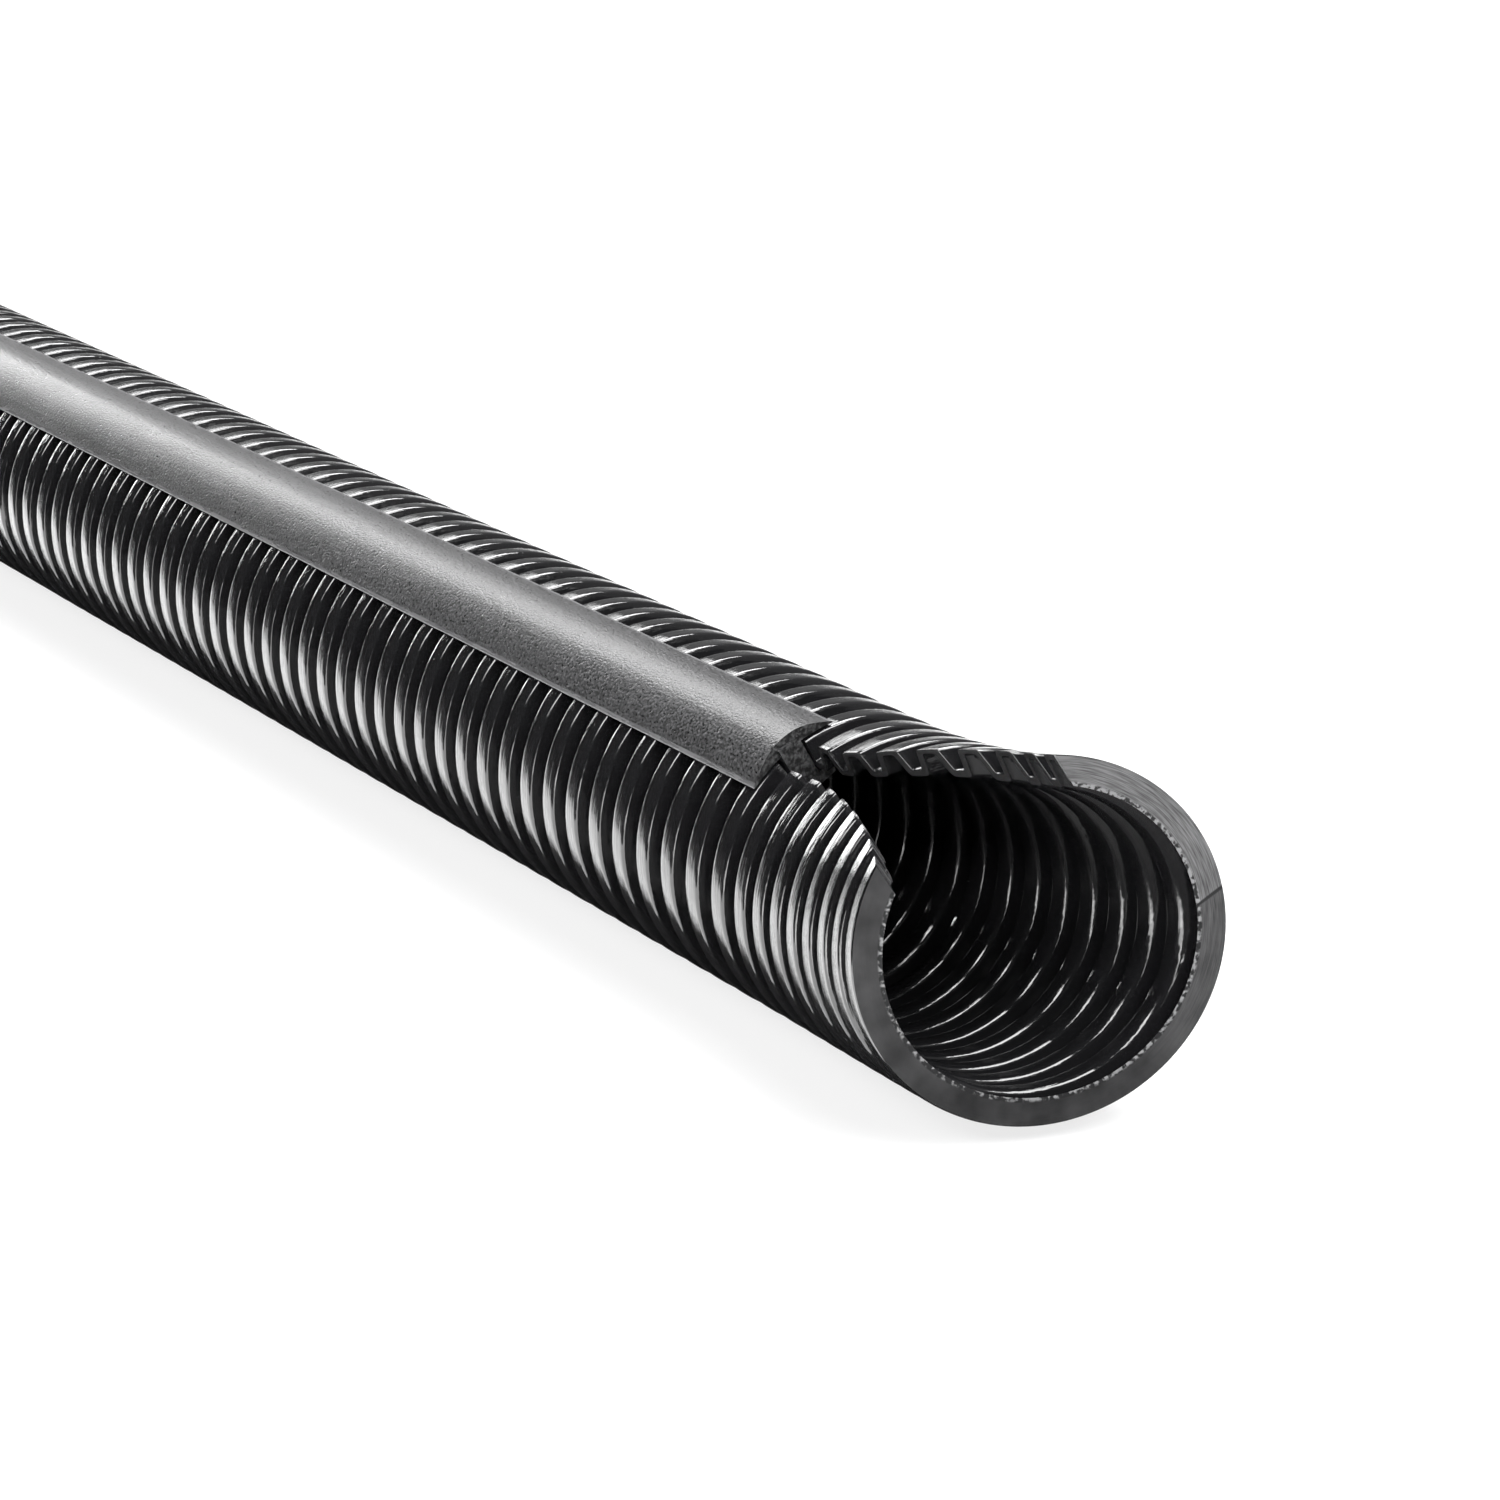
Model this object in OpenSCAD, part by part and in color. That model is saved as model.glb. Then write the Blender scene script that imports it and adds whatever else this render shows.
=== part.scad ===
/* [Conduit] */
// outside diameter over the crests
crest_d = 28.5; // [20:0.5:55]
// bore diameter inside the ribs
bore_d = 23; // [15:0.5:48]
// distance from one wave to the next
pitch = 4.2; // [3.4:0.1:6]
// length of the piece of stock before its end is sprung open
stock_len = 1000; // [200:50:1200]
// wall thickness on top of a crest
crest_wall = 0.5; // [0.4:0.05:0.8]
// wall thickness at the bottom of a valley
valley_wall = 0.65; // [0.4:0.05:0.9]
// wall thickness of a flank, measured along the axis
flank_wall = 0.6; // [0.4:0.05:0.8]
// width of the flat on a crest, as a share of the pitch
crest_share = 0.46; // [0.4:0.01:0.5]
// width of the flat in a valley, as a share of the pitch
valley_share = 0.33; // [0.26:0.01:0.36]
// size of the rounded edge on the shoulders of a wave
shoulder = 0.3; // [0.24:0.02:0.4]
// size of the rounded corner at the foot of a flank
foot = 0.22; // [0.1:0.02:0.26]

/* [Sprung open end] */
// number of waves in the stretch past the strip
open_waves = 8; // [5:1:12]
// spacing of these waves on the axis, as a share of the pitch
open_squeeze = 0.86; // [0.8:0.01:1]
// growth of the ring radius at the end
open_growth = 1.6; // [0.4:0.1:2.4]
// rise of the ring centre toward the slit at the end
open_rise = 3.7; // [0:0.1:4]
// sideways lean of the end ring, toward the near lip
lean_side = 11.6; // [0:0.2:16]
// lean of the end ring toward the slit
lean_up = 10.4; // [0:0.2:12]
// distance of the near lip from the middle of the slit at the end
near_lip = 8; // [3:0.2:10]
// distance of the far lip from the middle of the slit at the end
far_lip = 8.9; // [3:0.2:11]

/* [Closing strip] */
// direction of the slit and its strip, turned from straight up
slit_roll = 30.4; // [0:0.2:60]
// width of the cap over its feet
cap_w = 9.2; // [7:0.2:12]
// rise of the cap crown above the crests
cap_rise = 1.6; // [1.3:0.1:2.4]
// width of the flat on the crown
crown_w = 2.5; // [1.5:0.1:3.5]
// thickness of the web through the slit
web_t = 2.2; // [1.4:0.1:3]
// width of the flange under the slit
flange_w = 5.2; // [4:0.2:8]
// thickness of the flange under the slit
flange_t = 1.0; // [0.7:0.1:1.6]
// clearance between the web and each side of the slit
web_fit = 0.15; // [0.1:0.05:0.4]
// clearance of the cap over the crests and of the flange under the ribs
seat_fit = 0.25; // [0.15:0.05:0.4]
// how far the web stands past the cut end of the cap
web_proud = 0.3; // [0:0.1:1]

/* [Hidden] */
$fn = 96;
crest_r = crest_d / 2;
bore_r = bore_d / 2;
groove_r = crest_r - crest_wall;
valley_r = bore_r + valley_wall;
crest_half = pitch * crest_share / 2;
valley_half = pitch * valley_share / 2;
flank_slope = (pitch / 2 - crest_half - valley_half) / (crest_r - valley_r);
join_r = bore_r + 0.2;
buried = crest_half + (crest_r - (join_r + valley_r) / 2) * flank_slope - flank_wall / 2;
open_pitch = pitch * open_squeeze;
run_waves = round(stock_len / pitch) - open_waves;
sections = ceil(run_waves / 48);
run_len = crest_half + (run_waves - 0.5) * pitch;
strip_len = run_len - pitch / 2 + crest_half;
slit_half_w = web_t / 2 + web_fit;
slit_half = asin(slit_half_w / bore_r);
flange_top = sqrt(pow(bore_r - seat_fit, 2) - pow(flange_w / 2, 2));
end_r = crest_r + open_growth;
end_t = 1 - 0.5 / open_waves;
part_len = run_len + end_t * open_waves * open_pitch + crest_half
    + end_r * norm([tan(lean_side * end_t), tan(lean_up * end_t)]);
aside = open_rise * pow(end_t, 1.8) * sin(slit_roll);
reach_near = end_r + aside;
reach_far = max(crest_r, end_r - aside);

// half a wave from the middle of its crest to its foot, as x and r, outside and inside
function foot_x(r) = crest_half + (crest_r - r) * flank_slope;
function outer_half() = [
    [crest_half - shoulder * 0.6, crest_r],
    [foot_x(crest_r - shoulder), crest_r - shoulder],
    [foot_x(valley_r + foot), valley_r + foot],
    [foot_x(valley_r) + foot, valley_r]
];
function inner_half() = [
    [foot_x(groove_r) - flank_wall, groove_r],
    [foot_x(bore_r + shoulder) - flank_wall, bore_r + shoulder],
    [foot_x(bore_r) - flank_wall + shoulder * 0.6, bore_r]
];
function flip(list) = [for (i = [len(list) - 1:-1:0]) list[i]];
function mirror_x(list) = [for (q = flip(list)) [-q[0], q[1]]];
// half a wave that ends inside the valley floor, and one that ends at a square cut
function footed(half, wall) = concat([for (i = [0:len(half) - 2]) half[i]],
    [[foot_x(join_r) - wall, join_r]]);
function sawn(half) = concat([for (q = half) if (q[0] < crest_half) q],
    [[crest_half, lookup(crest_half, half)]]);
// one surface of a section of n waves, its far end sawn or footed
function section_line(half, wall, n, first) = concat(
    mirror_x(first ? sawn(half) : footed(half, wall)),
    n < 2 ? [] : [for (i = [0:n - 2])
        for (q = concat(half, [for (p = mirror_x(half)) p + [pitch, 0]])) q + [i * pitch, 0]],
    [for (q = footed(half, wall)) q + [(n - 1) * pitch, 0]]);

// turns a line of x and r round the axis, which lies along X, with the slit upward
module turned(line, slit) {
    rotate([90, 0, 90]) rotate_extrude(angle = 360 - 2 * slit, start = 90 + slit)
        polygon([for (q = line) [q[1], q[0]]]);
}

// the closed stretch is made in sections, each joined to the next by the floor of a valley
function first_wave(s) = round(s * run_waves / sections);
module section(s) {
    n = first_wave(s + 1) - first_wave(s);
    translate([crest_half + first_wave(s) * pitch, 0, 0])
        turned(concat(section_line(outer_half(), 0, n, s == 0),
            flip(section_line(inner_half(), flank_wall, n, s == 0))), slit_half);
}
module section_floor(s) {
    half_len = pitch / 2 - buried;
    translate([crest_half + (first_wave(s) - 0.5) * pitch, 0, 0])
        turned([[-half_len, valley_r], [half_len, valley_r], [half_len, bore_r], [-half_len, bore_r]],
            slit_half + 0.3);
}

// shape of the sprung stretch: t goes from 0 at the closed run to 1 at the end
function growth(t) = open_growth * pow(t, 1.6);
function rise(t) = open_rise * pow(t, 1.8);
function drift(t) = t == 0 ? 0 : open_rise * 1.8 * pow(t, 0.8) / (open_waves * open_pitch);
function axis_x(t) = run_len + t * open_waves * open_pitch;

// leans a ring at t without moving its centre off the line of the conduit
module leaned(t) {
    multmatrix([[1, tan(lean_side * t), -tan(lean_up * t), axis_x(t)],
                [0, 1, 0, 0],
                [drift(t), 0, 1, rise(t)]]) children();
}

function grown(list, a, b) = [for (q = list) q + [0, a + (b - a) * (q[0] / open_pitch + 0.5)]];
module open_wave(k) {
    last = k == open_waves;
    outer = footed(outer_half(), 0);
    inner = footed(inner_half(), flank_wall);
    line = concat(mirror_x(outer), last ? sawn(outer_half()) : outer,
        flip(last ? sawn(inner_half()) : inner), flip(mirror_x(inner)));
    leaned((k - 0.5) / open_waves)
        turned(grown(line, growth((k - 1) / open_waves), growth(k / open_waves)), 4);
}

// a straight tube between two waves, its ends leaned and hidden in their flanks
module valley_floor(j) {
    t = j / open_waves;
    turn_z = lean_side * t;
    turn_y = atan(tan(lean_up * t) * cos(turn_z));
    r = [bore_r + growth(t), valley_r + growth(t)];
    translate([axis_x(t), 0, rise(t)]) difference() {
        rotate([0, -atan(drift(t)), 0]) translate([-pitch * 2, 0, 0])
            turned([[0, r[1]], [pitch * 4, r[1]], [pitch * 4, r[0]], [0, r[0]]], 3);
        for (side = [0, 1])
            translate([side == 1 ? open_pitch / 2 - buried : buried - (j == 0 ? pitch : open_pitch) / 2, 0, 0])
                rotate([0, -turn_y, -turn_z])
                    translate([side == 1 ? 0 : -crest_d, -crest_d, -crest_d])
                        cube([crest_d, crest_d * 2, crest_d * 2]);
    }
}

// the gap between the lips, seen from the slit side
function lip_near(t) = slit_half_w + (near_lip - slit_half_w) * pow(t, 2);
function lip_far(t) = slit_half_w + (far_lip - slit_half_w) * (1 - cos(180 * min(1, t / 0.8))) / 2;
function lip_x(t, y) = axis_x(t) + tan(lean_side * t) * y - tan(lean_up * t) * crest_r;
module gap() {
    steps = [for (i = [0:open_waves]) i / open_waves];
    translate([0, 0, bore_r * 0.4]) linear_extrude(height = crest_r * 2) polygon(concat(
        [[run_len - pitch, -slit_half_w]],
        [for (t = steps) [lip_x(t, -lip_near(t)), -lip_near(t)]],
        [[part_len + pitch * 2, -near_lip - 3], [part_len + pitch * 2, far_lip]],
        [for (t = flip(steps)) [lip_x(t, lip_far(t)), lip_far(t)]],
        [[run_len - pitch, slit_half_w]]));
}

module open_stretch() {
    difference() {
        for (k = [1:open_waves]) {
            valley_floor(k - 1);
            open_wave(k);
        }
        gap();
    }
}

// stands the part on the floor, its length along X
module placed() {
    translate([-part_len / 2, (reach_near - reach_far) / 2, crest_r])
        rotate([slit_roll, 0, 0]) children();
}

module conduit() {
    color([0.03, 0.03, 0.035]) placed() for (s = [0:sections]) {
        if (s < sections) section(s);
        if (s > 0 && s < sections) section_floor(s);
        if (s == sections) open_stretch();
    }
}

module along(len) {
    rotate([90, 0, 90]) linear_extrude(height = len) children();
}

module closing_strip() {
    foot_up = sqrt(pow(crest_r + seat_fit, 2) - pow(cap_w / 2, 2));
    crown_up = crest_r + cap_rise;
    side = (cap_w - crown_w) / 2;
    half = [[crown_w / 2, crown_up],
        [crown_w / 2 + side * 0.5, crown_up - (crown_up - foot_up) * 0.38],
        [cap_w / 2 - side * 0.1, crown_up - (crown_up - foot_up) * 0.82],
        [cap_w / 2, foot_up + 0.12], [cap_w / 2, foot_up - 0.5]];
    color([0.16, 0.16, 0.165]) placed() union() {
        along(strip_len) difference() {
            polygon(concat(half, mirror_x(half)));
            circle(r = crest_r + seat_fit);
        }
        along(strip_len + web_proud) {
            translate([-web_t / 2, flange_top - flange_t / 2])
                square([web_t, crest_r + cap_rise * 0.6 - flange_top + flange_t / 2]);
            translate([-flange_w / 2, flange_top - flange_t]) square([flange_w, flange_t]);
        }
    }
}

conduit();
closing_strip();
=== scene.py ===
import math

import bmesh
import bpy
from mathutils import Matrix, Vector


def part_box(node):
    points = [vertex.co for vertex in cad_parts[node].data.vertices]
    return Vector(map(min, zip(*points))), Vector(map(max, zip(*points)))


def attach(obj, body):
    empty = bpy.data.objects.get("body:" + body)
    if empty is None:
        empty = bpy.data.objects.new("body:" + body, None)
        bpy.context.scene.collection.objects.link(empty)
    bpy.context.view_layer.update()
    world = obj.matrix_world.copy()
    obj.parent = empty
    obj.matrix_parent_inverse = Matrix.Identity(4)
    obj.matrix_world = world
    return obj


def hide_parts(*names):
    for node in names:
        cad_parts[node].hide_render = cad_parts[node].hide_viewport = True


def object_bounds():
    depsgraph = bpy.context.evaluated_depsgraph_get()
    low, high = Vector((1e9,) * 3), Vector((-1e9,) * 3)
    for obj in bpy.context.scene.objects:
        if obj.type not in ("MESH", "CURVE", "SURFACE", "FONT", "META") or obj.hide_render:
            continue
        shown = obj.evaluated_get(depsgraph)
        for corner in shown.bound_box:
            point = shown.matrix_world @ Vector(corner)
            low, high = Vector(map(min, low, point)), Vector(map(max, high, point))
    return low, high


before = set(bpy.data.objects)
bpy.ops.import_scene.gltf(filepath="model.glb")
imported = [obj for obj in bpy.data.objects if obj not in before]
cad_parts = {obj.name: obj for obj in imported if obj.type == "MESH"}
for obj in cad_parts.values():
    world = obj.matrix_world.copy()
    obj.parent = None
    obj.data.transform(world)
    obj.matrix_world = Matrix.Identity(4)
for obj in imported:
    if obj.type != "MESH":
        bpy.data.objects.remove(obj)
cad_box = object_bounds()

# Conduit: one tube of gloss black polyamide, corrugated on the moulding line and slit along its
# length. The strip closes it here, and these two stretches lie far off, so their waves are plain.
MM = 0.001
PITCH = 4.2
CREST_R, GROOVE_R, VALLEY_R, BORE_R = 14.25, 13.75, 12.15, 11.5
CREST_HALF, CREST_CROWN, CROWN_POINTS = 0.966, 0.05, (0.3, 0.55)
FLANK_SLOPE, FLANK_WALL = 0.21, 0.6
SHOULDER_CUT, FOOT_CUT, GROOVE_CUT, RIB_CUT = 0.24, 0.2, 0.18, 0.44
SLIT_ROLL = math.radians(30.4)
SLIT_HALF_WIDTH = 1.25
SLIT_HALF = math.asin(SLIT_HALF_WIDTH / BORE_R)
strip_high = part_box("closing_strip")[1]
conduit_low, conduit_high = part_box("conduit")
WEB_PROUD = 0.3
CUT_MARGIN = 0.02
CUT_X = strip_high[0] / MM - WEB_PROUD
FAR_X = conduit_low[0] / MM
AXIS_Y = 1.6335
RUN_LEN = CUT_X - FAR_X + PITCH / 2 - CREST_HALF
RUN_WAVES = round((RUN_LEN - CREST_HALF) / PITCH + 0.5)
NEAR_WAVES = 38
FAR_WAVES = (RUN_WAVES - NEAR_WAVES) // 2
FAR_STEPS = 44
PLACE = (Matrix.Scale(MM, 4) @ Matrix.Translation((FAR_X, AXIS_Y, CREST_R))
         @ Matrix.Rotation(SLIT_ROLL, 4, "X"))
SAWN_FACE, SLIT_FACE = 1, 2
DEEP_BLACK, WORN_BLACK = (0.006, 0.006, 0.0065, 1), (0.03, 0.03, 0.031, 1)


def foot_x(r):
    return CREST_HALF + (CREST_R - r) * FLANK_SLOPE


def softened(line, corners):
    """The line of (x, r) with each corner named in corners {index: (cut, steps)} turned into an arc."""
    out = []
    for i, p in enumerate(line):
        if i not in corners:
            out.append(p)
            continue
        cut, steps = corners[i]
        p = Vector(p)
        a = p + (Vector(line[i - 1]) - p).normalized() * cut
        b = p + (Vector(line[i + 1]) - p).normalized() * cut
        for s in range(steps + 1):
            t = s / steps
            q = a * (1 - t) ** 2 + p * 2 * t * (1 - t) + b * t * t
            out.append((q.x, q.y))
    return out


def half_outer(shoulder_steps, foot_steps, half_pitch):
    """Half a wave outside, from its slightly crowned crest to its foot in the valley."""
    line = [(0, CREST_R), (CREST_HALF, CREST_R), (foot_x(VALLEY_R), VALLEY_R), (half_pitch, VALLEY_R)]
    rounds = {1: (SHOULDER_CUT, shoulder_steps), 2: (FOOT_CUT, foot_steps)}
    line = [(x, CREST_R) for x in CROWN_POINTS] + softened(line, rounds)[1:-1]
    return [(x, r - CREST_CROWN * min(1.0, x / CREST_HALF) ** 2 if r > GROOVE_R else r)
            for x, r in line]


def half_inner(groove_steps, rib_steps, half_pitch):
    """Half a wave inside, from the groove under the crest to the rib that forms the bore."""
    line = [(0, GROOVE_R), (foot_x(GROOVE_R) - FLANK_WALL, GROOVE_R),
            (foot_x(BORE_R) - FLANK_WALL, BORE_R), (half_pitch, BORE_R)]
    return softened(line, {1: (GROOVE_CUT, groove_steps), 2: (RIB_CUT, rib_steps)})[1:-1]


def wave_line(half, centres):
    """Whole waves at these centres, each half a wave mirrored and then the half itself."""
    whole = [(-x, r) for x, r in reversed(half)] + half
    return [(c + x, r) for c in centres for x, r in whole]


def stretch_outline(first, last, outer, inner):
    """The closed outline of waves first to last of the closed run, with the far end sawn square."""
    centres = [CREST_HALF + i * PITCH for i in range(first, last)]
    left, right = centres[0] - PITCH / 2, centres[-1] + PITCH / 2
    top, bottom = wave_line(outer, centres), wave_line(inner, centres)
    if first == 0:
        top = [(0, CREST_R - 0.2)] + [p for p in top if p[0] > CUT_MARGIN]
        bottom = [(0, BORE_R + 0.19)] + [p for p in bottom if p[0] > CUT_MARGIN]
    else:
        top, bottom = [(left, VALLEY_R)] + top, [(left, BORE_R)] + bottom
    return top + [(right, VALLEY_R), (right, BORE_R)] + bottom[::-1]


def spun_shell(outline, steps, shape, lip_edge=0):
    """Spins a closed outline of (x, r) from one side of the slit to the other, closes both slit
    faces, rounds their edges by lip_edge, gives every point its place on the unrolled surface in
    the attribute around, and puts it where shape says."""
    bm = bmesh.new()
    around = bm.verts.layers.float_vector.new("around")
    ring = [bm.verts.new((x, 0, r)) for x, r in outline]
    edges = [bm.edges.new(pair) for pair in zip(ring, ring[1:] + ring[:1])]
    bmesh.ops.rotate(bm, verts=ring, cent=(0, 0, 0), matrix=Matrix.Rotation(SLIT_HALF, 3, "X"))
    turn = 2 * math.pi - 2 * SLIT_HALF
    bmesh.ops.spin(bm, geom=ring + edges, cent=(0, 0, 0), axis=(1, 0, 0), dvec=(0, 0, 0),
                   angle=turn, steps=steps, use_merge=False, use_duplicate=False)
    rims = [e for e in bm.edges if e.is_boundary]
    faces = bmesh.ops.holes_fill(bm, edges=rims, sides=0)["faces"]
    if lip_edge:
        bmesh.ops.bevel(bm, geom=list({e for f in faces for e in f.edges}), offset=lip_edge,
                        offset_type="OFFSET", segments=2, profile=0.5, affect="EDGES", material=-1)
        least_corners = 40
        faces = [f for f in bm.faces if len(f.verts) > least_corners]
    for f in faces:
        f.material_index = SLIT_FACE
    bmesh.ops.triangulate(bm, faces=faces, quad_method="BEAUTY", ngon_method="EAR_CLIP")
    bmesh.ops.recalc_face_normals(bm, faces=bm.faces)
    for v in bm.verts:
        x, y, z = v.co
        angle, r = math.atan2(-y, z) % (2 * math.pi), math.hypot(y, z)
        v[around] = (x, angle * CREST_R, r)
        v.co = shape(x, angle, r)
    return bm


def straight(x, angle, r):
    return Vector((x, -r * math.sin(angle), r * math.cos(angle)))


def saw_off(bm, low_x, high_x):
    """Gives the sawn plastic to the faces whose every corner lay between these places on the axis."""
    around = bm.verts.layers.float_vector["around"]
    for f in bm.faces:
        if all(low_x < v[around].x < high_x for v in f.verts):
            f.material_index = SAWN_FACE


def finished(bm, name, materials, sharp=50):
    """Puts the shaped mesh in its place and makes the object."""
    bmesh.ops.transform(bm, matrix=PLACE, verts=bm.verts)
    mesh = bpy.data.meshes.new(name)
    bm.to_mesh(mesh)
    bm.free()
    for m in materials:
        mesh.materials.append(m)
    mesh.shade_smooth()
    mesh.set_sharp_from_angle(angle=math.radians(sharp))
    obj = bpy.data.objects.new(name, mesh)
    bpy.context.collection.objects.link(obj)
    weigh = obj.modifiers.new("weighted_normals", "WEIGHTED_NORMAL")
    weigh.keep_sharp = True
    return obj


def node_material(name):
    """A material with nothing but its shader, and its node tree."""
    m = bpy.data.materials.new(name)
    m.use_nodes = True
    tree = m.node_tree
    tree.nodes.clear()
    out = tree.nodes.new("ShaderNodeOutputMaterial")
    bsdf = tree.nodes.new("ShaderNodeBsdfPrincipled")
    tree.links.new(bsdf.outputs[0], out.inputs[0])
    return m, tree, bsdf


def unrolled_place(tree):
    """Millimetres along the tube, round it from the slit, and out from its axis."""
    at = tree.nodes.new("ShaderNodeAttribute")
    at.attribute_name = "around"
    return at.outputs["Vector"]


def object_place(tree):
    return tree.nodes.new("ShaderNodeTexCoord").outputs["Object"]


def apart(tree, vector):
    split = tree.nodes.new("ShaderNodeSeparateXYZ")
    tree.links.new(vector, split.inputs[0])
    return split.outputs


def stretched_noise(tree, vector, stretch, detail, scale=1.0, turn=(0, 0, 0)):
    place = tree.nodes.new("ShaderNodeMapping")
    place.inputs["Scale"].default_value = stretch
    place.inputs["Rotation"].default_value = turn
    noise = tree.nodes.new("ShaderNodeTexNoise")
    noise.inputs["Scale"].default_value = scale
    noise.inputs["Detail"].default_value = detail
    tree.links.new(vector, place.inputs[0])
    tree.links.new(place.outputs[0], noise.inputs["Vector"])
    return noise.outputs["Fac"]


def ramped(tree, value, low, high, at_low, at_high):
    m = tree.nodes.new("ShaderNodeMapRange")
    m.inputs["From Min"].default_value = low
    m.inputs["From Max"].default_value = high
    m.inputs["To Min"].default_value = at_low
    m.inputs["To Max"].default_value = at_high
    tree.links.new(value, m.inputs["Value"])
    return m.outputs[0]


def combined(tree, a, b, op="ADD"):
    m = tree.nodes.new("ShaderNodeMath")
    m.operation = op
    for socket, value in zip(m.inputs, (a, b)):
        if isinstance(value, (int, float)):
            socket.default_value = value
        else:
            tree.links.new(value, socket)
    return m.outputs[0]


def coloured(tree, bsdf, share, dark, pale):
    """Colours the plastic from dark, at share 0, to pale, at share 1."""
    tone = tree.nodes.new("ShaderNodeMix")
    tone.data_type = "RGBA"
    tone.inputs["A"].default_value = dark
    tone.inputs["B"].default_value = pale
    tree.links.new(share, tone.inputs["Factor"])
    tree.links.new(tone.outputs["Result"], bsdf.inputs["Base Color"])


def bumped(tree, bsdf, height, strength, distance):
    b = tree.nodes.new("ShaderNodeBump")
    b.inputs["Strength"].default_value = strength
    b.inputs["Distance"].default_value = distance
    tree.links.new(height, b.inputs["Height"])
    tree.links.new(b.outputs[0], bsdf.inputs["Normal"])


def gloss_black():
    """Smooth black polyamide: lines drawn round by the mould, a faint ripple, fine scuffs and dust."""
    m, tree, bsdf = node_material("gloss_black_polyamide")
    at = unrolled_place(tree)
    lines = stretched_noise(tree, at, (7.0, 0.22, 0.6), 4.0)
    ripple = stretched_noise(tree, at, (1.1, 0.9, 1.0), 1.0)
    scuffs = stretched_noise(tree, at, (1.4, 7.0, 1.0), 4.0, scale=1.6, turn=(0, 0, 0.5))
    wear = ramped(tree, scuffs, 0.7, 0.8, 0.0, 1.0)
    rough = combined(tree, ramped(tree, lines, 0.35, 0.7, 0.04, 0.15),
                     combined(tree, wear, 0.25, "MULTIPLY"))
    tree.links.new(rough, bsdf.inputs["Roughness"])
    coloured(tree, bsdf, wear, DEEP_BLACK, WORN_BLACK)
    height = combined(tree, combined(tree, lines, 1.3, "MULTIPLY"), ripple)
    bumped(tree, bsdf, height, 0.35, 0.00006)
    bsdf.inputs["IOR"].default_value = 1.53
    bsdf.inputs["Specular IOR Level"].default_value = 0.6
    return m


def sawn_black():
    """The same plastic where it was sawn: matte, rougher and paler on the last third of the cut, past
    the mark where the blade was turned, and torn along the inner rim."""
    m, tree, bsdf = node_material("sawn_black_polyamide")
    here = object_place(tree)
    at = unrolled_place(tree)
    split = apart(tree, at)
    round_cut, from_axis = split["Y"], split["Z"]
    saw = stretched_noise(tree, at, (2.0, 0.35, 9.0), 3.0)
    smear = stretched_noise(tree, here, (100.0, 300.0, 300.0), 4.0)
    speck = stretched_noise(tree, here, (2200.0, 2200.0, 2200.0), 4.0)
    turned_at = math.radians(266.6) * CREST_R
    late = combined(tree, ramped(tree, round_cut, turned_at - 0.1, turned_at + 0.1, 0.0, 0.55),
                    ramped(tree, round_cut, turned_at - 22.0, turned_at, 0.0, 0.45))
    from_mark = combined(tree, combined(tree, round_cut, turned_at, "SUBTRACT"), 0, "ABSOLUTE")
    mark = ramped(tree, from_mark, 0.12, 0.26, 0.0, 1.0)
    streaks = combined(tree, late, ramped(tree, saw, 0.3, 0.7, -0.3, 0.3), "MULTIPLY")
    torn = combined(tree, ramped(tree, from_axis, BORE_R + 0.62, BORE_R + 0.3, 0.0, 1.0),
                    ramped(tree, speck, 0.42, 0.6, -1.0, 1.4), "MULTIPLY")
    pale = combined(tree, ramped(tree, late, 0.0, 1.0, 0.04, 0.42),
                    ramped(tree, smear, 0.3, 0.75, -0.05, 0.1))
    pale = combined(tree, combined(tree, pale, streaks), torn)
    pale = combined(tree, pale, mark, "MULTIPLY")
    coloured(tree, bsdf, pale, (0.008, 0.008, 0.0085, 1), (0.13, 0.13, 0.132, 1))
    tree.links.new(ramped(tree, saw, 0.3, 0.7, 0.48, 0.62), bsdf.inputs["Roughness"])
    bsdf.inputs["Specular IOR Level"].default_value = 0.2
    height = combined(tree, combined(tree, saw, late, "MULTIPLY"),
                      combined(tree, torn, combined(tree, speck, 0.5, "MULTIPLY")))
    bumped(tree, bsdf, height, 0.5, 0.00006)
    return m


def slit_black():
    """The same plastic where the slit was cut with a blade: satin, with fine drag lines."""
    m, tree, bsdf = node_material("slit_black_polyamide")
    drag = stretched_noise(tree, object_place(tree), (900.0, 5000.0, 5000.0), 3.0)
    coloured(tree, bsdf, drag, DEEP_BLACK, WORN_BLACK)
    tree.links.new(ramped(tree, drag, 0.3, 0.7, 0.4, 0.6), bsdf.inputs["Roughness"])
    bumped(tree, bsdf, drag, 0.6, 0.00005)
    return m


BLACK_PLASTIC = [gloss_black(), sawn_black(), slit_black()]
AT_CUT = 0.001
plain_outer, plain_inner = half_outer(2, 1, PITCH / 2), half_inner(1, 1, PITCH / 2)
for name, first, last in (("conduit_far_stretch", 0, FAR_WAVES),
                          ("conduit_middle_stretch", FAR_WAVES, RUN_WAVES - NEAR_WAVES)):
    shell = spun_shell(stretch_outline(first, last, plain_outer, plain_inner), FAR_STEPS, straight)
    saw_off(shell, -math.inf, AT_CUT)
    piece = finished(shell, name, BLACK_PLASTIC)
    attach(piece, "root")
    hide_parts("conduit")

# Near stretch of the conduit: the same moulded tube, where the waves are seen close up. Their
# shoulders and feet are rounded, as the mould blocks leave them.
NEAR_STEPS = 90
near_outer, near_inner = half_outer(4, 2, PITCH / 2), half_inner(1, 1, PITCH / 2)
near_outline = stretch_outline(RUN_WAVES - NEAR_WAVES, RUN_WAVES, near_outer, near_inner)
piece = finished(spun_shell(near_outline, NEAR_STEPS, straight), "conduit_near_stretch", BLACK_PLASTIC)
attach(piece, "root")
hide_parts("conduit")

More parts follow.
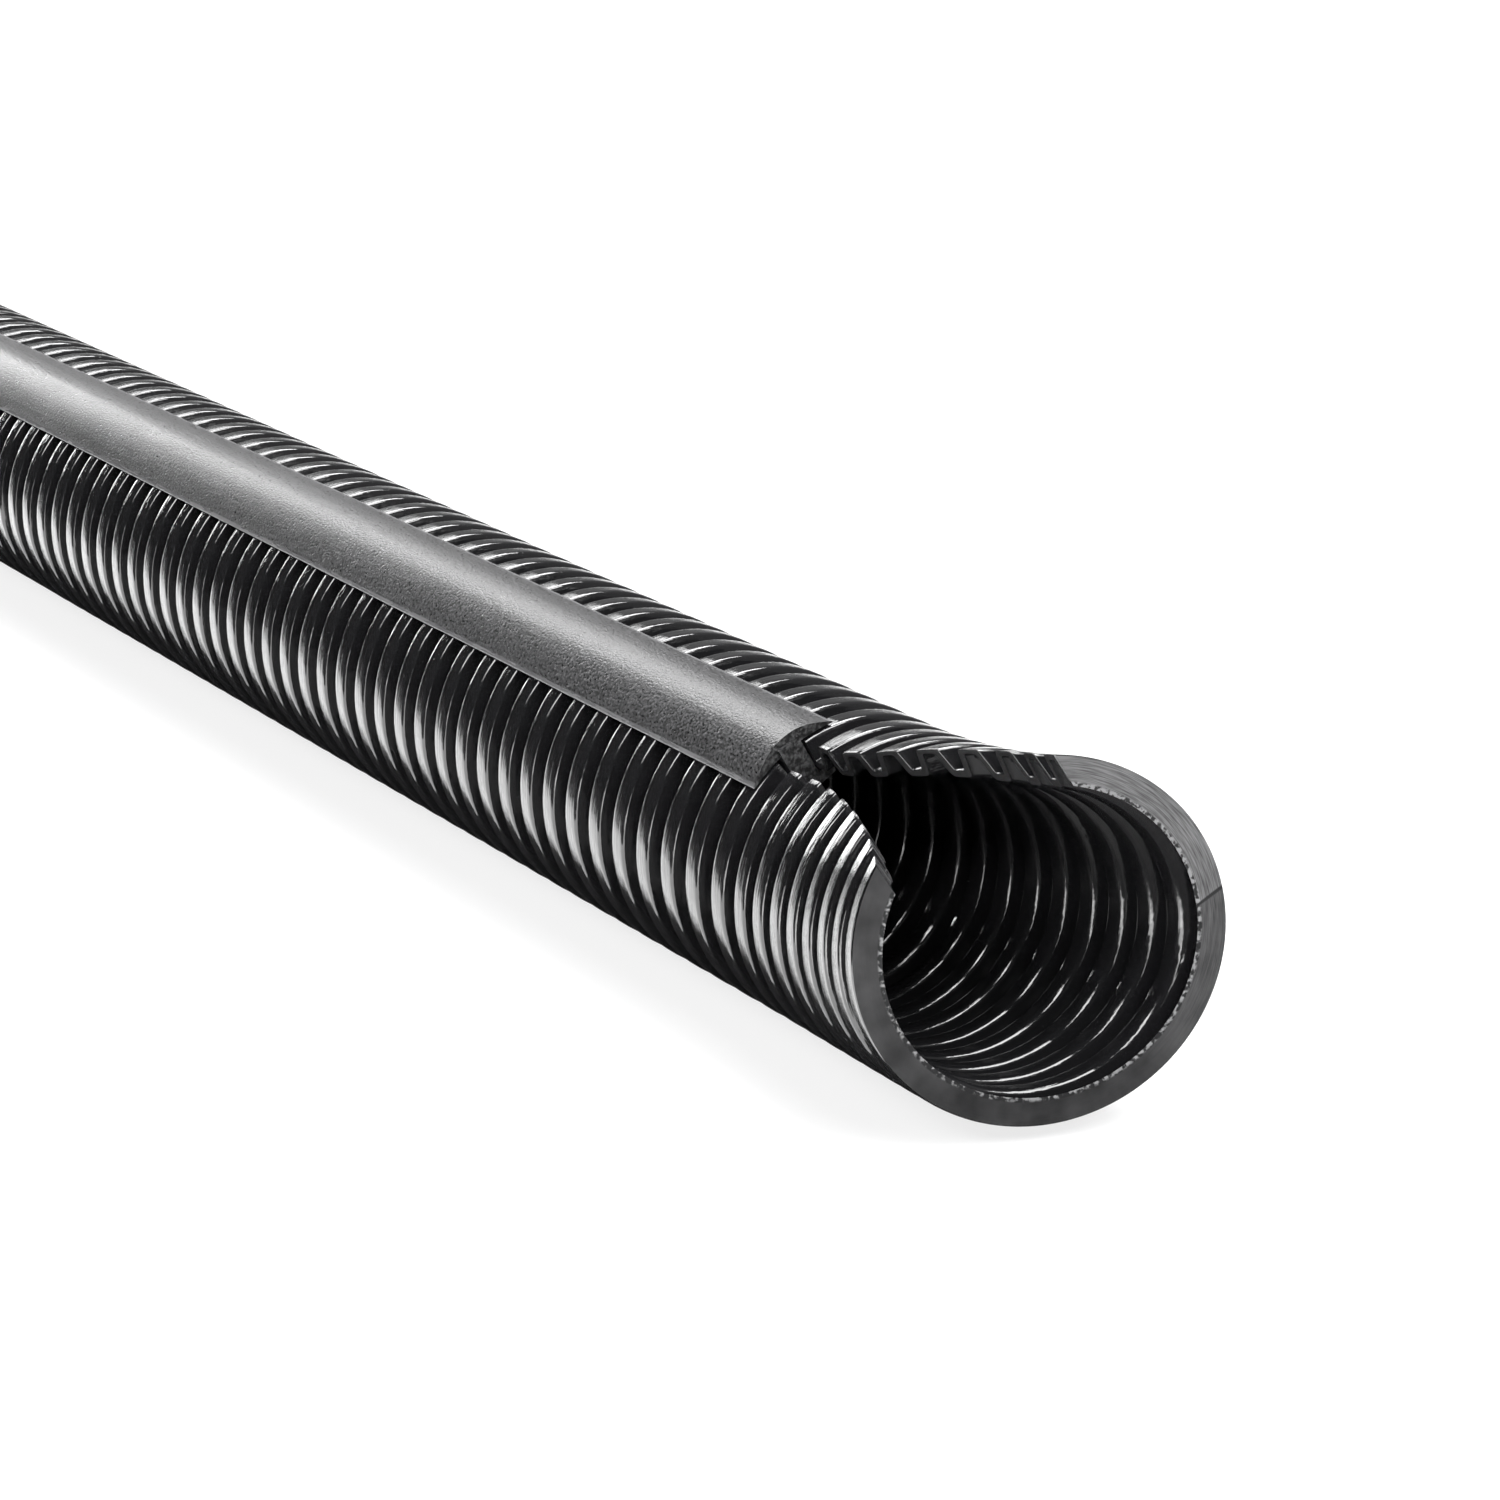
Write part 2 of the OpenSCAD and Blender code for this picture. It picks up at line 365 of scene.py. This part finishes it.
# Sprung end of the conduit: eight waves past the strip, levered open so that the rings grow, rise
# toward the slit and lean back on the near side. The last wave is sawn through at its shoulder.
OPEN_WAVES, OPEN_PITCH, OPEN_STEPS = 8, PITCH * 0.86, 160
OPEN_LEN = OPEN_WAVES * OPEN_PITCH
GROWTH, RISE = 1.6, 3.7
LEAN_SIDE, LEAN_UP = math.radians(11.6), math.radians(10.4)
NEAR_LIP, FAR_LIP = 8.0, 8.9
LIP_EDGE = 0.06


def sprung(x, angle, r):
    """Grows, raises and leans the ring that lay at x, and parts its lips unequally."""
    t = min(1.0, max(0.0, (x - RUN_LEN) / OPEN_LEN))
    r += GROWTH * t ** 1.6
    near = SLIT_HALF_WIDTH + (NEAR_LIP - SLIT_HALF_WIDTH) * t ** 2
    part = (1 - math.cos(math.pi * min(1.0, t / 0.8))) / 2
    far = SLIT_HALF_WIDTH + (FAR_LIP - SLIT_HALF_WIDTH) * part
    first = max(SLIT_HALF, math.asin(near / r))
    last = 2 * math.pi - max(SLIT_HALF, math.asin(far / r))
    u = (angle - SLIT_HALF) / (2 * math.pi - 2 * SLIT_HALF)
    angle = first + (last - first) * u
    y, z = -r * math.sin(angle), r * math.cos(angle)
    return Vector((x + math.tan(LEAN_SIDE * t) * y - math.tan(LEAN_UP * t) * z, y,
                   z + RISE * t ** 1.8))


open_centres = [RUN_LEN + (k + 0.5) * OPEN_PITCH for k in range(OPEN_WAVES)]
SAWN_X = open_centres[-1] + CREST_HALF
fine_outer, fine_inner = half_outer(4, 3, OPEN_PITCH / 2), half_inner(2, 3, OPEN_PITCH / 2)
top, bottom = ([(RUN_LEN, foot_r)]
               + [p for p in wave_line(half, open_centres) if p[0] < SAWN_X - CUT_MARGIN]
               for foot_r, half in ((VALLEY_R, fine_outer), (BORE_R, fine_inner)))
face_in, face_out, face_steps = BORE_R + 0.2, CREST_R - 0.12, 6
face = [(SAWN_X, face_out + (face_in - face_out) * i / face_steps) for i in range(face_steps + 1)]
shell = spun_shell(top + face + bottom[::-1], OPEN_STEPS, sprung, LIP_EDGE)
saw_off(shell, SAWN_X - AT_CUT, math.inf)
piece = finished(shell, "conduit_sprung_end", BLACK_PLASTIC)
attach(piece, "root")
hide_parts("conduit")

# Closing strip: an extruded length of matte dark grey plastic that snaps into the slit. Its domed
# cap lies on the crests, its web fills the slit, and the flange under the slit holds it in.
CAP_HALF, CAP_FOOT, CROWN, CROWN_HALF = 4.6, 13.75, 15.85, 1.25
CAP_UNDER, UNDER_STEPS = 14.5, 6
WEB_HALF, WEB_TOP = 1.1, 15.21
FLANGE_HALF, FLANGE_TOP, FLANGE_LOW = 2.6, 10.945, 9.945
STRIP_LEN = CUT_X - FAR_X
RUBBED_FROM = 4.3
GRAINED, SNIPPED, RUBBED = 0, 1, 2


def matte_grey():
    """Matte extruded plastic: orange-peel grain, faint lines along the strip and small scuffs."""
    m, tree, bsdf = node_material("matte_grey_plastic")
    here = object_place(tree)
    grain = stretched_noise(tree, here, (3200.0, 4600.0, 4600.0), 2.0)
    drawn = stretched_noise(tree, here, (30.0, 1600.0, 1600.0), 2.0)
    patch = stretched_noise(tree, here, (60.0, 120.0, 120.0), 3.0)
    pale = combined(tree, ramped(tree, patch, 0.3, 0.7, 0.0, 0.12),
                    ramped(tree, grain, 0.4, 0.75, 0.0, 0.9))
    coloured(tree, bsdf, pale, (0.004, 0.004, 0.0042, 1), (0.06, 0.06, 0.062, 1))
    tree.links.new(ramped(tree, grain, 0.3, 0.7, 0.26, 0.42), bsdf.inputs["Roughness"])
    height = combined(tree, grain, combined(tree, drawn, 0.2, "MULTIPLY"))
    bumped(tree, bsdf, height, 0.8, 0.00007)
    return m


def rubbed_grey():
    """The strip's thin lower edge, rubbed smooth by handling."""
    m, tree, bsdf = node_material("rubbed_grey_plastic")
    nick = stretched_noise(tree, object_place(tree), (300.0, 2000.0, 2000.0), 3.0)
    coloured(tree, bsdf, nick, (0.05, 0.05, 0.052, 1), (0.11, 0.11, 0.112, 1))
    tree.links.new(ramped(tree, nick, 0.35, 0.65, 0.16, 0.34), bsdf.inputs["Roughness"])
    return m


def cut_grey():
    """The strip's own plastic where it was snipped: dark, rough and speckled."""
    m, tree, bsdf = node_material("cut_grey_plastic")
    speck = stretched_noise(tree, object_place(tree), (3000.0, 3000.0, 3000.0), 4.0)
    coloured(tree, bsdf, ramped(tree, speck, 0.42, 0.66, 0.0, 1.0),
             (0.003, 0.003, 0.0032, 1), (0.045, 0.045, 0.046, 1))
    bsdf.inputs["Roughness"].default_value = 0.6
    bsdf.inputs["Specular IOR Level"].default_value = 0.25
    bumped(tree, bsdf, speck, 0.8, 0.00012)
    return m


cap_end, web_end = math.asin(CAP_HALF / CAP_UNDER), math.asin(WEB_HALF / CAP_UNDER)
under = [(CAP_UNDER * math.sin(a), CAP_UNDER * math.cos(a)) for a in
         (cap_end * k / UNDER_STEPS + web_end * (1 - k / UNDER_STEPS) for k in range(UNDER_STEPS + 1))]
dome = softened([(0, CROWN), (CROWN_HALF, CROWN), (2.925, 15.05), (4.265, 14.13), (CAP_HALF, 13.87),
                 (CAP_HALF, CAP_FOOT)], {1: (1.1, 8), 2: (0.72, 6), 3: (0.15, 3), 4: (0.08, 4)})[1:-1]
cap_half = dome + [(CAP_HALF, CAP_FOOT + 0.03)] + under[::-1][:-1]
corner = under[0]
bm = bmesh.new()


def rim(points):
    return [bm.verts.new((STRIP_LEN, -y, z)) for y, z in points]


def drawn_out(geom, length, keep):
    """Extrudes the faces by this length along the strip. With keep, the faces that they started from
    stay and close the other end."""
    out = bmesh.ops.extrude_face_region(bm, geom=geom, use_keep_orig=keep)["geom"]
    corners = [g for g in out if isinstance(g, bmesh.types.BMVert)]
    bmesh.ops.translate(bm, vec=(length, 0, 0), verts=corners)


right, left = rim(cap_half), rim([(-y, z) for y, z in cap_half])
shared = rim([corner, (WEB_HALF, WEB_TOP), (-WEB_HALF, WEB_TOP), (-corner[0], corner[1])])
foot = rim([(WEB_HALF, FLANGE_TOP), (FLANGE_HALF, FLANGE_TOP), (FLANGE_HALF, FLANGE_LOW),
            (-FLANGE_HALF, FLANGE_LOW), (-FLANGE_HALF, FLANGE_TOP), (-WEB_HALF, FLANGE_TOP)])
cap = bm.faces.new(right + shared + left[::-1])
web = bm.faces.new([shared[0]] + foot + [shared[3], shared[2], shared[1]])
drawn_out([cap, web], -STRIP_LEN, True)
drawn_out([web] + list(web.edges), WEB_PROUD, False)
bmesh.ops.recalc_face_normals(bm, faces=bm.faces)
for f in bm.faces:
    if abs(f.normal.x) > 0.9:
        f.material_index = SNIPPED
    elif abs(f.calc_center_median().y) > RUBBED_FROM and f.normal.z > -0.1:
        f.material_index = RUBBED
    else:
        f.material_index = GRAINED
bmesh.ops.triangulate(bm, faces=[f for f in bm.faces if len(f.verts) > 4], quad_method="BEAUTY",
                      ngon_method="EAR_CLIP")
strip = finished(bm, "closing_strip_extrusion", [matte_grey(), cut_grey(), rubbed_grey()], 40)
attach(strip, "root")
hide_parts("closing_strip")

# Floor: a plain pale floor just under the conduit. Seen straight it is nearly white, and its colour in
# glossy rays is painted dark on the near side and pale on the far side: a painted reflection of a
# studio table with a dark front.
FLOOR_HALF, FLOOR_GAP, FLOOR_GLOW = 6.0, 0.0001, 0.8
floor_bm = bmesh.new()
bmesh.ops.create_grid(floor_bm, x_segments=1, y_segments=1, size=FLOOR_HALF)
floor_mesh = bpy.data.meshes.new("floor")
floor_bm.to_mesh(floor_mesh)
floor_bm.free()
floor = bpy.data.objects.new("floor", floor_mesh)
bpy.context.collection.objects.link(floor)
floor.location = (0, 0, cad_box[0][2] - FLOOR_GAP)
paint = bpy.data.materials.new("pale_floor")
paint.use_nodes = True
tree = paint.node_tree
tree.nodes.clear()
out = tree.nodes.new("ShaderNodeOutputMaterial")
dull = tree.nodes.new("ShaderNodeBsdfDiffuse")
glow = tree.nodes.new("ShaderNodeEmission")
path = tree.nodes.new("ShaderNodeLightPath")
both = tree.nodes.new("ShaderNodeMixShader")
# Painted reflection: a colour that only glossy rays see, dark on the near side of the floor and pale on
# the far side.
glossy_painted_reflection = tree.nodes.new("ShaderNodeMix")
glossy_painted_reflection.data_type = "RGBA"
glossy_painted_reflection.inputs["A"].default_value = (0.9, 0.9, 0.9, 1)
across_floor = apart(tree, object_place(tree))["Y"]
tree.links.new(ramped(tree, across_floor, 0.0, 0.06, 0.05, 0.5), glossy_painted_reflection.inputs["B"])
tree.links.new(path.outputs["Is Glossy Ray"], glossy_painted_reflection.inputs["Factor"])
tree.links.new(glossy_painted_reflection.outputs["Result"], dull.inputs["Color"])
share = combined(tree, path.outputs["Is Camera Ray"], FLOOR_GLOW, "MULTIPLY")
tree.links.new(share, both.inputs[0])
tree.links.new(dull.outputs[0], both.inputs[1])
tree.links.new(glow.outputs[0], both.inputs[2])
tree.links.new(both.outputs[0], out.inputs[0])
floor_mesh.materials.append(paint)

# Studio: a room that looks white and lights the tube only faintly, paler behind it than in front.
# Soft lamps hang high and low beyond the far end, above, in front and at the right, and two strips
# low on the floor draw the bands on the lower flanks.
world = bpy.data.worlds.new("studio")
bpy.context.scene.world = world
world.use_nodes = True
tree = world.node_tree
tree.nodes.clear()
out = tree.nodes.new("ShaderNodeOutputWorld")
seen, lit = tree.nodes.new("ShaderNodeBackground"), tree.nodes.new("ShaderNodeBackground")
seen.inputs[0].default_value = (1, 1, 1, 1)
seen.inputs[1].default_value = 1.0
lit.inputs[1].default_value = 1.0
toward_back = apart(tree, tree.nodes.new("ShaderNodeTexCoord").outputs["Generated"])["Y"]
tree.links.new(ramped(tree, toward_back, -0.2, 0.3, 0.03, 0.3), lit.inputs[0])
pick = tree.nodes.new("ShaderNodeMixShader")
path = tree.nodes.new("ShaderNodeLightPath")
tree.links.new(path.outputs["Is Camera Ray"], pick.inputs[0])
tree.links.new(lit.outputs[0], pick.inputs[1])
tree.links.new(seen.outputs[0], pick.inputs[2])
tree.links.new(pick.outputs[0], out.inputs[0])


def softbox(name, centre, toward, size, radiance):
    data = bpy.data.lights.new(name, "AREA")
    data.shape = "RECTANGLE"
    data.size, data.size_y = size
    data.energy = radiance * math.pi * size[0] * size[1]
    lamp = bpy.data.objects.new(name, data)
    bpy.context.collection.objects.link(lamp)
    lamp.location = centre
    aim = (Vector(toward) - Vector(centre)).normalized()
    lamp.rotation_euler = aim.to_track_quat("-Z", "Y").to_euler()
    lamp.visible_camera = False
    return lamp


end_x = conduit_high[0]
middle = (end_x - 0.08, 0, 0.014)
for name, centre, size, radiance in (
        ("overhead_far", (end_x - 1.58, 0.02, 1.2), (0.42, 0.6), 14.0),
        ("overhead_back", (end_x - 1.4, 0.48, 1.1), (0.4, 0.6), 7.0),
        ("overhead", (end_x - 0.15, 0.25, 0.8), (0.55, 0.4), 24.0),
        ("horizon", (end_x - 1.7, 0.07, 0.22), (0.55, 0.44), 20.0),
        ("front_high", (end_x + 0.28, -0.7, 0.66), (0.9, 0.22), 14.0),
        ("right", (end_x + 0.5, 0.08, 0.62), (0.55, 0.42), 15.0)):
    softbox(name, centre, middle, size, radiance)
STRIP_Z = 0.0008
for name, x, y, size, radiance in (("low_front", 0.0, -0.034, (1.4, 0.034), 4.5),
                                   ("apron", end_x + 0.07, -0.06, (0.12, 0.07), 6.0)):
    low = softbox(name, (x, y, STRIP_Z), (x, y, 1.0), size, radiance)
    low.rotation_euler = (math.pi, 0, 0)
    low.visible_diffuse = False

# Camera: a long lens close to the sprung end, looking back along the tube from above its near side.
# Its place and direction were fitted to the outlines and the rings.
camera_data = bpy.data.cameras.new("camera")
camera_data.lens, camera_data.sensor_width = 100, 36
camera_data.sensor_fit = "HORIZONTAL"
camera_data.clip_start = 0.01
camera = bpy.data.objects.new("camera", camera_data)
bpy.context.collection.objects.link(camera)
sight, across = Vector((-0.80625816, 0.50539329, -0.30744984)), Vector((0.53111838, 0.84729762, 0.0))
upward = across.cross(sight)
turn = Matrix((across, upward, -sight)).transposed()
spot = Vector((CUT_X + 284.739, AXIS_Y - 189.866, CREST_R + 121.694)) * MM
camera.matrix_world = Matrix.Translation(spot) @ turn.to_4x4()
bpy.context.scene.camera = camera

bpy.context.scene.view_settings.view_transform = "Standard"
